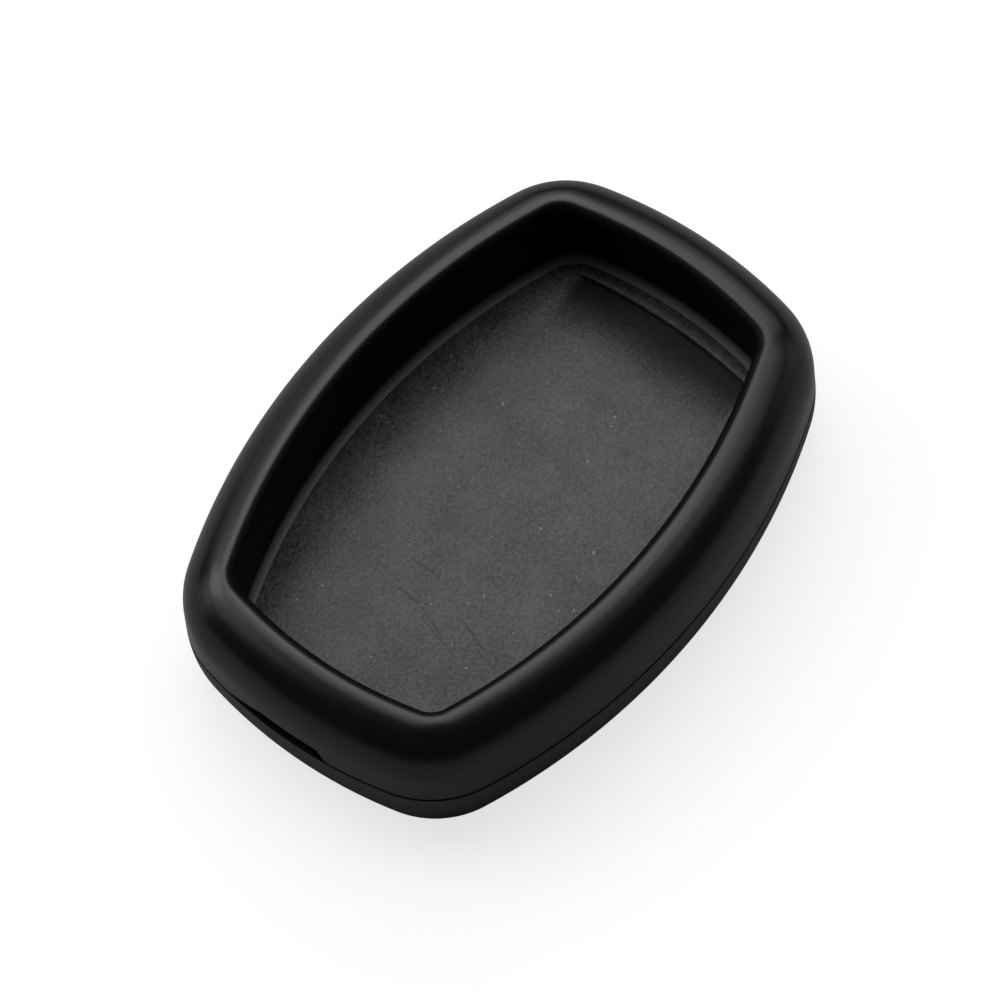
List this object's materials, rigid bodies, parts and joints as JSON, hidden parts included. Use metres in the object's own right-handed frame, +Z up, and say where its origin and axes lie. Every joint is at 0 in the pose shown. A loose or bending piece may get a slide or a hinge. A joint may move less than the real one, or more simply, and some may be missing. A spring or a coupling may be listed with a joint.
{
  "type": "key fob cover",
  "caption": "Barrel-shaped hard cover for a smart key, with a domed rim frame round an open window, a bellied back shell, an inner tray and a grained floor.",
  "frame": {"origin": "centre of the flat underside", "axes": "+X along the length, towards the head end, where the floor has its step; +Y across the width; +Z up, out of the window"},
  "size_m": [0.0706, 0.0498, 0.017],
  "materials": {
    "shell": "matte black moulded plastic, softly lit on its belly",
    "tray": "deep black moulded plastic with a fine dust",
    "pad": "dark grey sheet with a fine speckled grain",
    "rim": "black soft-touch plastic with a satin sheen along the lip"
  },
  "bodies": {
    "shell": {"back_shell": "shell", "inner_tray": "tray", "floor_pad": "pad"},
    "frame": {"rim_frame": "rim"}
  },
  "joints": [
    {"name": "frame_lift", "type": "slide", "parent": "shell", "child": "frame", "axis": [0, 0, 1], "range_m": [0, 0.015]}
  ]
}
